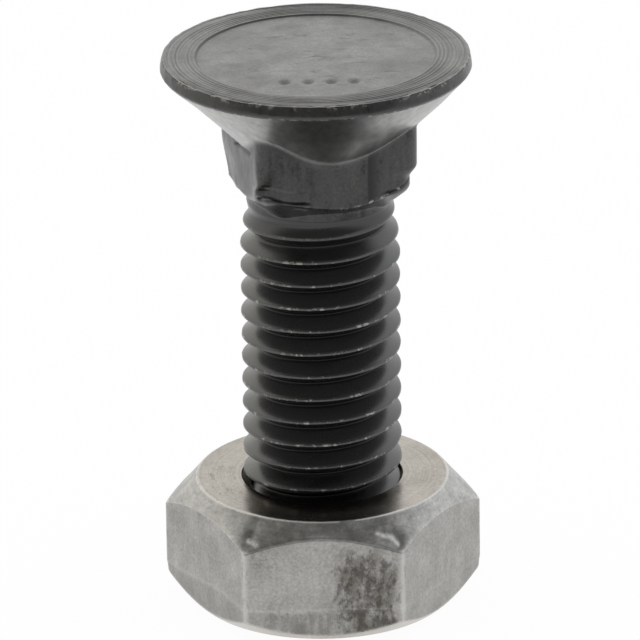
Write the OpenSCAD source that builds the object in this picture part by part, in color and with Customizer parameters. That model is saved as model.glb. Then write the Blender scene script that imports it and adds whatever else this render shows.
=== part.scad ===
// Countersunk square-neck bolt with its hexagon nut.
// It stands head up on the nut: the origin is at the middle of the nut's base, +Z runs up to the head.

/* [Bolt] */
// Length of the bolt over everything, from its threaded end to the head's face
bolt_length = 35; // [28:0.5:60]
// How far the bolt's end stays above the nut's base
end_recess = 0.4; // [0.1:0.1:2]

/* [Head] */
// Diameter of the head's rim
head_d = 19.1; // [17:0.1:22]
// Height of the straight rim above the countersink
rim_h = 0.9; // [0.5:0.1:1.5]
// Included angle of the countersink
countersink_angle = 90; // [80:1:100]
// Break on the rim's upper edge
rim_edge = 0.12; // [0.05:0.01:0.3]
// Diameter of the sunk panel in the head's face, at its floor
panel_d = 14.4; // [10:0.1:15]
// Depth of that panel
panel_depth = 0.13; // [0.05:0.01:0.3]
// Width of the slope round the panel
panel_slope = 0.25; // [0.2:0.05:0.6]

/* [Square neck] */
// Width of the neck across its flats
neck_w = 10.1; // [9.6:0.1:11]
// Radius on the neck's four corners
neck_corner_r = 1.1; // [0.6:0.1:1.8]
// Depth of the neck's shoulder below the head's face
neck_depth = 8.8; // [8:0.1:11]
// Rise of the bevel that takes the corners in to the shank
shoulder_angle = 40; // [30:1:50]
// Turn of the square about the bolt's axis
neck_turn = 15.5; // [0:0.5:45]

/* [Thread] */
// Diameter over the crests
thread_d = 9.84; // [9.7:0.01:10]
// Rise of the right-hand thread in one turn
thread_pitch = 1.5; // [1:0.25:1.5]
// Diameter of the plain blank that the thread was rolled on
blank_d = 8.96; // [8.8:0.01:9.1]
// Plain length left between the thread and the neck's shoulder
blank_h = 0.5; // [0.3:0.1:2]
// Length over which the thread fades into the blank
runout = 3; // [0.8:0.1:5]
// Bevel on the threaded end
end_bevel = 0.9; // [0.5:0.1:1.2]

/* [Nut] */
// Width of the nut across its flats
nut_w = 17; // [16:0.1:18]
// Height of the nut
nut_h = 7.8; // [6:0.1:10]
// Diameter of the flat ring on the nut's upper side
nut_top_d = 15.5; // [14.5:0.1:16]
// Slope of the upper corner bevels
nut_top_slope = 43; // [20:1:50]
// Diameter of the flat ring on the nut's base
nut_base_d = 15.9; // [15:0.1:16.6]
// Slope of the lower corner bevels
nut_base_slope = 36; // [20:1:45]
// Room between the thread's crests and the nut's bore, all round
nut_play = 0.14; // [0.1:0.01:0.2]
// Width of the bevel at each mouth of the bore
mouth_bevel = 0.2; // [0.1:0.1:0.8]

/* [Hidden] */

$fn = 96;
// Columns of the thread's mesh round the axis
thread_columns = 32;
// Spare length by which solids run past each other where one cuts or joins the other
overlap = 1;

head_r = head_d / 2;
head_z = end_recess + bolt_length;
rim_z = head_z - rim_h;
shoulder_z = head_z - neck_depth;
countersink_slope = 1 / tan(countersink_angle / 2);
// The countersink's cone ends inside the neck, below its flats' surface
core_r = neck_w / 2 - overlap / 2;
core_z = rim_z - (head_r - core_r) * countersink_slope;
panel_r = panel_d / 2;

neck_inner_w = neck_w - 2 * neck_corner_r;
neck_corner_reach = neck_inner_w / 2 * sqrt(2) + neck_corner_r;
blank_r = blank_d / 2;
bevel_top_z = shoulder_z + (neck_corner_reach + overlap - blank_r) * tan(shoulder_angle);

crest_r = thread_d / 2;
// A sixty degree thread: crests an eighth of the pitch wide, roots a quarter
crest_half = thread_pitch / 16;
root_half = thread_pitch / 8;
thread_depth = (thread_pitch / 2 - crest_half - root_half) / tan(30);
thread_end_z = end_recess;
thread_top_z = shoulder_z - blank_h;
shank_top_z = shoulder_z + overlap;
end_r = crest_r - end_bevel;

nut_corner_r = nut_w / 2 / cos(30);
bore_r = crest_r + nut_play;
nut_bevel_r = nut_corner_r + overlap;

// Profile of a turned solid from the axis out, closed on the axis at both ends
module turned(profile) {
    rotate_extrude() polygon(profile);
}

// Four-sided prism with round corners, standing on z = 0
module rounded_square_prism(width, corner_r, height) {
    inner = width - 2 * corner_r;
    linear_extrude(height) union() {
        square([width, inner], center = true);
        square([inner, width], center = true);
        for (x = [-1, 1], y = [-1, 1])
            translate([x * inner / 2, y * inner / 2]) circle(corner_r);
    }
}

// Rim, sunk panel and countersink
module countersunk_head() {
    turned([
        [0, core_z],
        [core_r, core_z],
        [head_r, rim_z],
        [head_r, head_z - rim_edge],
        [head_r - rim_edge, head_z],
        [panel_r + panel_slope, head_z],
        [panel_r, head_z - panel_depth],
        [0, head_z - panel_depth],
    ]);
}

// Square neck, its corners taken in to the shank by a turned bevel
module square_neck() {
    intersection() {
        translate([0, 0, shoulder_z])
            rotate([0, 0, neck_turn])
                rounded_square_prism(neck_w, neck_corner_r, rim_z - shoulder_z);
        turned([
            [0, shoulder_z],
            [blank_r, shoulder_z],
            [neck_corner_reach + overlap, bevel_top_z],
            [neck_corner_reach + overlap, rim_z + overlap],
            [0, rim_z + overlap],
        ]);
    }
}

// Radius of the full thread at a height above a crest's middle
function thread_r(rise) =
    let (off = abs(rise - thread_pitch * round(rise / thread_pitch)))
    crest_r - thread_depth * min(1, max(0, (off - crest_half) / (thread_pitch / 2 - crest_half - root_half)));

// Radius of the shank's skin: bevelled end, full thread, then the fade into the plain blank
function shank_r(z, rise) =
    let (fade = min(1, max(0, (z - thread_top_z + runout) / runout)))
    let (rolled = thread_r(rise) * (1 - fade) + blank_r * fade)
    min(rolled, end_r + z - thread_end_z);

// Rows of the mesh in one turn: the two edges of the crest and the two of the root
turn_rows = [-crest_half, crest_half, thread_pitch / 2 - root_half, thread_pitch / 2 + root_half];
row_count = len(turn_rows);
// Turns start below the bolt's end and stop above its shank, and are trimmed to it
first_turn = floor(thread_end_z / thread_pitch) - 2;
last_turn = ceil(shank_top_z / thread_pitch) + 1;
mesh_rows = (last_turn - first_turn + 1) * row_count;

// One point of the thread's mesh: a row follows the helix round the axis
function thread_point(column, row) =
    let (angle = 360 * column / thread_columns)
    let (rise = turn_rows[row % row_count] + thread_pitch * (first_turn + floor(row / row_count)))
    let (z = min(shank_top_z, max(thread_end_z, rise + thread_pitch * angle / 360)))
    let (r = shank_r(z, rise))
    [r * cos(angle), r * sin(angle), z];

// After a full turn a row meets the row one turn above it in the first column
function thread_index(column, row) =
    column < thread_columns
        ? column * mesh_rows + row
        : min(mesh_rows - 1, row + row_count);

// Threaded shank as one closed mesh, its top inside the neck
module threaded_shank() {
    skin = [for (column = [0 : thread_columns - 1], row = [0 : mesh_rows - 1]) thread_point(column, row)];
    end_centre = len(skin);
    top_centre = end_centre + 1;
    walls = [
        for (column = [0 : thread_columns - 1], row = [0 : mesh_rows - 2])
            let (low_left = thread_index(column, row))
            let (high_left = thread_index(column, row + 1))
            let (low_right = thread_index(column + 1, row))
            let (high_right = thread_index(column + 1, row + 1))
            each [[low_left, high_left, high_right], [low_left, high_right, low_right]]
    ];
    caps = [
        for (column = [0 : thread_columns - 1])
            let (next = (column + 1) % thread_columns)
            each [
                [end_centre, column * mesh_rows, next * mesh_rows],
                [top_centre, (next + 1) * mesh_rows - 1, (column + 1) * mesh_rows - 1],
            ]
    ];
    polyhedron(concat(skin, [[0, 0, thread_end_z], [0, 0, shank_top_z]]), concat(walls, caps), convexity = 10);
}

// Bolt, forged and rolled in one piece
module plow_bolt() {
    color([0.17, 0.17, 0.17]) union() {
        countersunk_head();
        square_neck();
        threaded_shank();
    }
}

// Hexagon nut, flats to front and back, both ends bevelled, bored clear of the thread
module hex_nut() {
    color([0.6, 0.59, 0.57]) difference() {
        intersection() {
            cylinder(h = nut_h, r = nut_corner_r, $fn = 6);
            turned([
                [0, 0],
                [nut_base_d / 2, 0],
                [nut_bevel_r, (nut_bevel_r - nut_base_d / 2) * tan(nut_base_slope)],
                [nut_bevel_r, nut_h - (nut_bevel_r - nut_top_d / 2) * tan(nut_top_slope)],
                [nut_top_d / 2, nut_h],
                [0, nut_h],
            ]);
        }
        translate([0, 0, -overlap]) cylinder(h = nut_h + 2 * overlap, r = bore_r);
        for (end = [0, 1])
            translate([0, 0, end * nut_h]) mirror([0, 0, end])
                translate([0, 0, -overlap])
                    cylinder(h = overlap + mouth_bevel, r1 = bore_r + overlap + mouth_bevel, r2 = bore_r);
    }
}

plow_bolt();
hex_nut();
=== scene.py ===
# A countersunk square-neck bolt in black steel, standing head up on its bare steel hexagon nut.
import math

import bpy
import numpy as np
from mathutils import Matrix, Vector


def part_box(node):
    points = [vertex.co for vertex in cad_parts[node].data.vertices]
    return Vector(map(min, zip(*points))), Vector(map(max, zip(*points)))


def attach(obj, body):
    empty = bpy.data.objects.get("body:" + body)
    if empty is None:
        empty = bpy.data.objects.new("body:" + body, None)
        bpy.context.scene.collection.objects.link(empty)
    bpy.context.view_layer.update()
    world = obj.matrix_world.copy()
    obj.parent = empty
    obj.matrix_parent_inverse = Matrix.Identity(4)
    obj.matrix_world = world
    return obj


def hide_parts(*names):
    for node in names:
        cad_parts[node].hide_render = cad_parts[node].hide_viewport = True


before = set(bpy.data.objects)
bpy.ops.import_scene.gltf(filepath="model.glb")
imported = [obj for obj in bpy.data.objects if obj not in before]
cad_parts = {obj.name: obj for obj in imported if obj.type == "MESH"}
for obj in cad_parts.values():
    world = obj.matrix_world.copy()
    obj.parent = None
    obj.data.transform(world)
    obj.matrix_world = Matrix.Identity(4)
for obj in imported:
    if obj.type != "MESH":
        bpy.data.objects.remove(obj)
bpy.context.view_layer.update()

# Lengths below are in millimetres and angles in degrees, and meshes are scaled to metres at the end
MM = 0.001
bolt_low, bolt_high = [np.array(corner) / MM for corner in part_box("plow_bolt")]
nut_high = np.array(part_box("hex_nut")[1]) / MM

# Head: rim, countersink, and the sunk panel in its face. It sits a little off the shank's axis, and tilted
HEAD_SHIFT = -0.11
HEAD_BACK = 0.12
HEAD_TILT = 0.006
RIM_R = 9.53
RIM_SHOULDER_R = 9.425
RIM_EDGE_R = 9.38
FACE_R = 9.2
RIM_HEIGHT = 0.9
RIM_FOOT_HEIGHT = 0.18
RIM_EDGE_HEIGHT = 0.12
RIM_EASE = 0.1
RIM_SPANS = (3, 4, 2, 3)
RIM_WAVER = 0.03
NICK_DROP = 0.06
NICK_IN = 0.04
CHEW_DROP = 0.022
CHEW_IN = 0.02
BATTERED_RIGHT = 312
BATTERED_FRONT = 262
HEAD_TOP = bolt_high[2] - HEAD_TILT * RIM_R
RIM_Z = bolt_high[2] - RIM_HEIGHT
CONE_R = 9.38
CONE_SLOPE = 1.02
PANEL_R = 7.2
PANEL_SLOPE = 0.24
PANEL_EDGE_R = PANEL_R + PANEL_SLOPE
PANEL_DEPTH = 0.13
PANEL_RIPPLE = 0.008

# Turned rings on the face outside the panel
RING_PITCH = 0.25
RING_DEPTH = 0.06

# Plain round dimples punched into the panel
DIMPLE_PLACES = (-1.9, -0.5, 0.9, 2.3)
DIMPLE_Y = -4.6
DIMPLE_R = 0.42
DIMPLE_DEPTH = 0.13
DIMPLE_ROWS_R = (6.3, 3.2)

# Square neck. Its front left corner is sharp at the foot and softer above
NECK_HALF = 5.05
NECK_CORNER = 1.1
NECK_SHARP_CORNER = 0.7
NECK_SOFTENING = 0.65
NECK_TURN = 15.5
NECK_FRONT = 270 + NECK_TURN
NECK_DEPTH = 8.8
SHOULDER_Z = bolt_high[2] - NECK_DEPTH
SHOULDER_SLOPE = math.tan(math.radians(40))
NECK_SOFT_Z = SHOULDER_Z + 1.9
FORGE_BLEND = 0.14
WIDE_BLEND = 0.3

# Uneven forging of the neck, by angles from the middle of its front face: a patch has a middle and a width,
# and a stretch has two ends and how far each of them fades. IN and OUT say how far the metal moves
RIGHT_ROLL = (47, 13)
RIGHT_ROLL_OUT = 0.42
LEFT_ROLL = (-47, 13)
LEFT_ROLL_OUT = 0.45
FLAT_SHOULDER = (-165, -93, 15, 12)
FLAT_SHOULDER_INSET = 0.4
RIGHT_TAPER = (49, 15)
RIGHT_TAPER_IN = 0.48
RIGHT_TAPER_Z = SHOULDER_Z + 2.7
BACK_TAPER = (-130, 22)
BACK_TAPER_IN = 0.42
BACK_TAPER_Z = SHOULDER_Z + 3.0
LAP = (-54, -18, 6, 8)
LIP = (-49, -29, 5, 4)
LIP_IN = 0.05
FLAP_END = (-50, 5.5)
FLAP_END_OUT = 0.28
UNDERCUT_IN = 0.1
POCKET_START = -34
POCKET_FADE = 12
POCKET_IN = 0.2
FOOT_EASE = 0.08
LEFT_FILLET = (-68, 14)
LEFT_FILLET_EASE = 0.4
RIGHT_FILLET = (48, 14)
RIGHT_FILLET_EASE = 0.35
FRONT_BLEND = (-15, 38)
LEFT_BLEND = (-68, 17)
FLARE_OUT = 0.33
FLARE_Z = RIM_Z - 2.0

# Patches of painted shade on the countersink and in its fillet, by angles about the bolt's axis
SHADE_FRONT = (272, 33)
SHADE_FILLET = (250, 11)
SHADE_RIGHT_TOP = 288
SHADE_RIGHT_LEAN = 11
SHADE_RIGHT_WIDTH = 7.5

# Marks on the neck's front and left faces, placed across the face and by height
FRONT_FACE_HALF = 52
LEFT_FACE_HALF = 40
STRIPE = (1.6, 2.6, 0.14, 0.8)
STRIPE_DEPTH = 0.05
SEAM = (2.9, 0.07)
PIT_PLACE = (3.1, 27.85)
PIT_R = 0.13
PIT_STRETCH = 2.8
PIT_DEPTH = 0.1
CRACK_PATH = ((3.4, 27.9), (3.9, 28.0), (4.5, 28.25), (5.0, 28.45))
CRACK_WIDTH = 0.07
CRACK_DEPTH = 0.06
SCRATCH_PATH = ((-0.9, 29.85), (1.0, 30.2), (2.55, 30.4))
SCRATCH_WIDTH = 0.09
SCRATCH_DEPTH = 0.14

# Thread and the plain blank above it. Shares of the pitch say where its crests end and its roots start
PITCH = 1.5
CREST_R = 4.92
CREST_WEAR = 0.012
BLANK_R = 4.48
BLANK_HEIGHT = 0.5
THREAD_TOP = SHOULDER_Z - BLANK_HEIGHT
RUNOUT = 3.0
END_Z = bolt_low[2]
END_BEVEL = 0.9
END_LAND = 0.3
END_DISH = 0.12
CREST_HALF = 1 / 16
CREST_EASE = 0.03
BOLT_ROOT_START = 0.46
NUT_ROOT_START = 0.375

# Nut
NUT_H = nut_high[2]
NUT_HALF = nut_high[1]
NUT_SHIFT = -0.05
NUT_CORNER = 0.35
NUT_BEVEL_CORNER = 1.8
NUT_BEVEL_SHARE = 0.6
NUT_TOP_R = 7.78
NUT_FLAT_TOP_Z = 6.82
NUT_CORNER_TOP_Z = 5.95
NUT_BASE_R = 7.95
NUT_BASE_SLOPE = math.tan(math.radians(36))
NUT_BASE_EDGE_Z = 0.05
NUT_BASE_INSET = 0.09
NUT_EASE = 0.14
NUT_SPANS = (8, 5, 10, 2, 22, 6, 8, 16)
MOUTH_R = 5.02
MOUTH_SLOPE = 1.2
THREAD_PLAY = 0.07
BAND_Z = 2.1
BAND_STEP = 0.04
BAND_WAVER = 0.14
FLAT_SAG = 0.02

# Dents on the nut's upper front edge, and burrs there with a painted highlight
DENT_COUNT = 4
DENT_START = np.array((3.35, -8.1, 6.87))
DENT_RUN = np.array((1.15, -0.15, -0.55))
DENT_REACH = (0.3, 0.5, 0.16)
DENT_PUSH = (0.0, 0.035, -0.05)
LEFT_DENT = (-4.45, -8.35, 6.45)
LEFT_DENT_REACH = (0.3, 0.4, 0.2)
LEFT_DENT_PUSH = (0.03, 0.07, -0.05)
BURR_HIGHLIGHT_PATHS = (((3.3, 7.0), (3.75, 6.82), (4.1, 6.74), (4.6, 6.32)), ((-4.6, 6.55), (-4.1, 6.45)))
BURR_HIGHLIGHT_WIDTH = 0.11
BURR_HIGHLIGHT_FRONT_Y = -7.4

# Mesh density
BOLT_COLUMNS = 200
FRONT_DENSITY = 1.7
CORNER_DENSITY = 2.0
NUT_SECTOR_COLUMNS = 48
EASE_STEPS = 4
THREAD_ROWS = np.array([-0.5, -0.44, -0.39, -0.12, -0.075, -0.045, 0.045, 0.075, 0.12, 0.39, 0.44])


def smooth_step(value):
    t = np.clip(value, 0.0, 1.0)
    return t * t * (3 - 2 * t)


def soft_max(a, b, width):
    """The larger of two heights, with a fillet of about that width where they cross."""
    gap = np.clip(0.5 + 0.5 * (a - b) / width, 0.0, 1.0)
    return b * (1 - gap) + a * gap + width * gap * (1 - gap)


def soft_min(a, b, width):
    return -soft_max(-a, -b, width)


def near(value, middle, width):
    return np.exp(-((value - middle) / width) ** 2)


def window(value, low, high, rise, fall):
    """1 between two ends, fading out inside each of them."""
    return smooth_step((value - low) / rise) * smooth_step((high - value) / fall)


def unevenness(angle, height, seed, waves, turns, per_mm):
    """Smooth seeded waviness, about -1 to 1: a sum of waves that run round and along the axis.

    turns is the most waves that fit round, and per_mm the fastest change of phase along."""
    rng = np.random.default_rng(seed)
    total = 0.0
    for _ in range(waves):
        around = rng.integers(-turns, turns + 1)
        along = rng.uniform(-per_mm, per_mm)
        total = total + np.cos(around * angle + along * height + rng.uniform(0, 2 * np.pi))
    return total / math.sqrt(waves)


def polygon_reach(angle, sides, half, corner):
    """Distance from the axis to a regular prism's rounded side, for each angle from a face's middle."""
    sector = 2 * np.pi / sides
    off = np.abs((angle + sector / 2) % sector - sector / 2)
    flat_end = np.arctan((half - corner) * math.tan(sector / 2) / half)
    to_corner = sector / 2 - off
    centre = (half - corner) / math.cos(sector / 2)
    inside = np.maximum(corner ** 2 - (centre * np.sin(to_corner)) ** 2, 0.0)
    rounded = centre * np.cos(to_corner) + np.sqrt(inside)
    return np.where(off <= flat_end, half / np.cos(off), rounded)


def thread_profile(rise, crest_r, root_start):
    """Radius of a sixty degree thread at a rise above a crest's middle, with its corners eased."""
    off = np.abs(rise - PITCH * np.round(rise / PITCH)) / PITCH
    span = root_start - CREST_HALF
    depth = span * PITCH / math.tan(math.radians(30))

    def ramp_area(x):
        return np.where(x < 0, 0.0, np.where(x > 1, x - 0.5, x * x / 2))

    late = ramp_area((off + CREST_EASE - CREST_HALF) / span)
    early = ramp_area((off - CREST_EASE - CREST_HALF) / span)
    return crest_r - depth * (late - early) * span / (2 * CREST_EASE)


class Skin:
    """Collects grids of points into one closed mesh: rows run up or in, columns run round the axis."""

    def __init__(self, mark_names):
        self.points = []
        self.quads = []
        self.finishes = []
        self.marks = {name: [] for name in mark_names}
        self.count = 0

    def add(self, points, finish, turn_rows=0, inward=False, **marks):
        """Adds one grid of (rows, columns, 3) points. A helix climbs turn_rows rows in a turn."""
        rows, columns = points.shape[:2]
        index = np.arange(rows * columns).reshape(rows, columns) + self.count
        climbed = np.minimum(np.arange(rows) + turn_rows, rows - 1)
        right = np.column_stack([index[:, 1:], index[climbed, 0]])
        quads = np.stack([index[:-1], right[:-1], right[1:], index[1:]], axis=-1).reshape(-1, 4)
        if inward:
            quads = quads[:, ::-1]
        finish_faces = np.broadcast_to(np.asarray(finish), (rows - 1, columns))
        self.points.append(points.reshape(-1, 3))
        self.quads.append(quads)
        self.finishes.append(finish_faces.ravel())
        for name, store in self.marks.items():
            store.append(np.broadcast_to(marks.get(name, 0.0), (rows, columns)).ravel())
        self.count += rows * columns

    def piece(self, name, materials):
        """Makes the object: joins coincident points, drops collapsed faces and stores the marks."""
        points = np.concatenate(self.points)
        rounded = np.round(points, 5)
        _, first, inverse = np.unique(rounded, axis=0, return_index=True, return_inverse=True)
        quads = inverse.ravel()[np.concatenate(self.quads)]
        faces = []
        finishes = []
        for quad, finish in zip(quads.tolist(), np.concatenate(self.finishes).tolist()):
            corners = list(dict.fromkeys(quad))
            if len(corners) > 2:
                faces.append(corners)
                finishes.append(finish)
        mesh = bpy.data.meshes.new(name)
        mesh.from_pydata((points[first] * MM).tolist(), [], faces)
        for material in materials:
            mesh.materials.append(material)
        mesh.polygons.foreach_set("material_index", finishes)
        mesh.polygons.foreach_set("use_smooth", [True] * len(faces))
        for mark, store in self.marks.items():
            attribute = mesh.attributes.new(mark, "FLOAT", "POINT")
            attribute.data.foreach_set("value", np.concatenate(store)[first])
        mesh.validate()
        mesh.update()
        piece = bpy.data.objects.new(name, mesh)
        bpy.context.scene.collection.objects.link(piece)
        return piece


def round_points(radius, angle, height):
    """Points on the axis's cylinder coordinates, as a (rows, columns, 3) grid."""
    radius, angle, height = np.broadcast_arrays(radius, angle, height)
    return np.stack([radius * np.cos(angle), radius * np.sin(angle), height], axis=-1)


def rounded_profile(corners, ease, spans, wear):
    """Rows of a profile through corner points, each inner corner eased by a short curve.

    corners is a list of (radius, height) columns, spans gives the rows on each straight stretch.
    wear says how worn each inner corner is. Returns the points and each row's wear."""
    corners = [np.stack(np.broadcast_arrays(*corner), axis=-1).astype(float) for corner in corners]
    rows = [corners[0]]
    bends = [0.0]
    last = corners[0]
    for i in range(1, len(corners)):
        here = corners[i]
        lead = here - corners[i - 1]
        length = np.linalg.norm(lead, axis=-1, keepdims=True)
        if i == len(corners) - 1:
            stop = here
        else:
            stop = here - lead / length * np.minimum(ease, length * 0.45)
        for k in range(1, spans[i - 1] + 1):
            rows.append(last + (stop - last) * k / spans[i - 1])
            bends.append(0.0)
        if i == len(corners) - 1:
            break
        follow = corners[i + 1] - here
        follow_length = np.linalg.norm(follow, axis=-1, keepdims=True)
        start = here + follow / follow_length * np.minimum(ease, follow_length * 0.45)
        for k in range(1, EASE_STEPS + 1):
            t = k / EASE_STEPS
            rows.append(stop * (1 - t) ** 2 + here * 2 * t * (1 - t) + start * t ** 2)
            bends.append(wear[i - 1] * 4 * t * (1 - t))
        last = start
    return np.stack(rows), np.array(bends)


def corner_row(spans, corner):
    """The row in the middle of an inner corner of a rounded profile."""
    return sum(spans[:corner]) + EASE_STEPS * (corner - 1) + EASE_STEPS // 2


def helix_rows(low, high):
    """Rise of each mesh row, for turns that cover a stretch of the axis with spare at each end."""
    first = math.floor(low / PITCH) - 2
    last = math.ceil(high / PITCH) + 1
    turns = np.arange(first, last + 1)[:, None]
    return ((turns + THREAD_ROWS) * PITCH).ravel()[:, None]


def line_distance(x, y, path):
    """Distance from each point to a bent line."""
    best = np.inf
    for (x0, y0), (x1, y1) in zip(path[:-1], path[1:]):
        run = np.hypot(x1 - x0, y1 - y0)
        t = np.clip(((x - x0) * (x1 - x0) + (y - y0) * (y1 - y0)) / run ** 2, 0, 1)
        best = np.minimum(best, np.hypot(x - x0 - t * (x1 - x0), y - y0 - t * (y1 - y0)))
    return best


# Bolt

FORGED, THREADED, FACED = range(3)


def bolt_angles():
    """Columns round the bolt, closer together on its front half and at the neck's corners there."""
    turn = np.linspace(0, 2 * np.pi, 3601)
    density = np.where(turn > np.pi, FRONT_DENSITY, 1.0)
    for corner in (-45, 45):
        density = density + CORNER_DENSITY * near(turn, math.radians(NECK_FRONT + corner), math.radians(5))
    passed = np.concatenate([[0.0], np.cumsum(density[1:] + density[:-1])])
    share = np.arange(BOLT_COLUMNS) / BOLT_COLUMNS
    return np.interp(share, passed / passed[-1], turn)[None, :]


def threaded_shank(skin, angle):
    rise = helix_rows(END_Z, THREAD_TOP)
    height = np.clip(rise + PITCH * angle / (2 * np.pi), END_Z, THREAD_TOP)
    along = rise / PITCH * 2 * np.pi + angle
    worn = CREST_WEAR * (unevenness(along, height, 4, 9, 9, 2.0) - 1)
    rolled = thread_profile(rise, CREST_R + worn, BOLT_ROOT_START)
    fade = np.clip((height - THREAD_TOP + RUNOUT) / RUNOUT, 0, 1) ** 1.3
    end_r = CREST_R - END_BEVEL
    radius = np.minimum(rolled * (1 - fade) + BLANK_R * fade, end_r + height - END_Z)
    off = np.abs(rise / PITCH - np.round(rise / PITCH))
    crest = smooth_step((0.075 - off) / 0.03) * (1 - fade) ** 2
    # Painted shade in the thread's roots and on the runout under the neck, and a slight darkening of the
    # crests
    thread_shade = smooth_step((off - 0.4) / 0.06) * (1 - fade) + 0.5 * fade + 0.2 * crest
    shank = round_points(radius, angle, height)
    skin.add(shank, THREADED, turn_rows=len(THREAD_ROWS), edge=crest, grime=thread_shade)
    end_rings = np.linspace(end_r, 0.0, 9)[:, None]
    dish = END_DISH * smooth_step((end_r - END_LAND - end_rings) / 2.0)
    skin.add(round_points(end_rings, angle, END_Z + dish), THREADED, inward=True)


def forged_square(angle, turn, height):
    """Distance from the axis to the neck's sides."""
    front_left = (turn < 0) & (turn > -np.pi / 2)
    softened = NECK_SHARP_CORNER + NECK_SOFTENING * smooth_step((height - NECK_SOFT_Z) / 1.6)
    corner = np.where(front_left, softened, NECK_CORNER)
    return polygon_reach(turn, 4, NECK_HALF, corner) + 0.025 * unevenness(angle, height, 11, 8, 5, 1.2)


def neck_marks(turn, reach, height):
    """Depth, darkening and rubbing of the marks on the neck's front face, and the scratch on its left face.
    The pit and the crack are darkened with painted shade, and the stripe is darker.
    """
    across = reach * np.sin(turn)
    on_front = np.abs(turn) < math.radians(FRONT_FACE_HALF)
    stripe = window(across, *STRIPE)
    pit = near(np.hypot((across - PIT_PLACE[0]) / PIT_STRETCH, height - PIT_PLACE[1]), 0, PIT_R)
    crack = near(line_distance(across, height, CRACK_PATH), 0, CRACK_WIDTH)
    depth = on_front * (STRIPE_DEPTH * stripe + PIT_DEPTH * pit + CRACK_DEPTH * crack)
    # Painted shade in the pit and the crack; the stripe is darker
    grime = on_front * (0.5 * stripe + 0.8 * pit + 0.4 * crack)
    rub = 0.25 * on_front * near(across, *SEAM)

    left_turn = turn + np.pi / 2
    left_across = reach * np.sin(left_turn)
    on_left = np.abs(left_turn) < math.radians(LEFT_FACE_HALF)
    width = SCRATCH_WIDTH + 0.08 * smooth_step((left_across - 0.5) / 1.5)
    scratch = on_left * near(line_distance(left_across, height, SCRATCH_PATH) / width, 0, 1)
    return depth, grime, rub, scratch


def bevel_foot(angle, turn_deg, height, square):
    """Radius at which the bevel under the neck starts.

    It stands further out under both front corners. The back left corner has a flat shoulder instead."""
    rolled = RIGHT_ROLL_OUT * near(turn_deg, *RIGHT_ROLL) + LEFT_ROLL_OUT * near(turn_deg, *LEFT_ROLL)
    foot = BLANK_R + rolled + 0.05 * unevenness(angle, 0, 21, 7, 9, 0.1)
    flat_under = window(turn_deg, *FLAT_SHOULDER) * smooth_step((height - SHOULDER_Z) / 0.12)
    return foot + (square - FLAT_SHOULDER_INSET - foot) * flat_under


def drawn_out(turn_deg, height, above_edge, lip):
    """How far the neck's lower corners are drawn out: the lap's flap, less its lip and two tapers."""
    right = RIGHT_TAPER_IN * near(turn_deg, *RIGHT_TAPER) * smooth_step((RIGHT_TAPER_Z - height) / 0.9)
    back = BACK_TAPER_IN * near(turn_deg, *BACK_TAPER) * smooth_step((BACK_TAPER_Z - height) / 3.2)
    flap = FLAP_END_OUT * near(turn_deg, *FLAP_END) * smooth_step((1.05 - above_edge) / 0.45)
    return flap - LIP_IN * lip * smooth_step((0.85 - above_edge) / 0.1) - right - back


def painted_shade_patches(angle_deg, height, countersink, past_neck):
    """Painted shade on the front and the right of the countersink and in its fillet with the neck."""
    front = 0.45 * near(angle_deg, *SHADE_FRONT)
    right_middle = SHADE_RIGHT_TOP + SHADE_RIGHT_LEAN * smooth_step((RIM_Z - 0.5 - height) / 3)
    right = 0.36 * near(angle_deg, right_middle, SHADE_RIGHT_WIDTH)
    fillet = 0.42 * near(angle_deg, *SHADE_FILLET) * near(past_neck, -0.05, 0.3)
    return countersink * (front + right) + fillet


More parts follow.
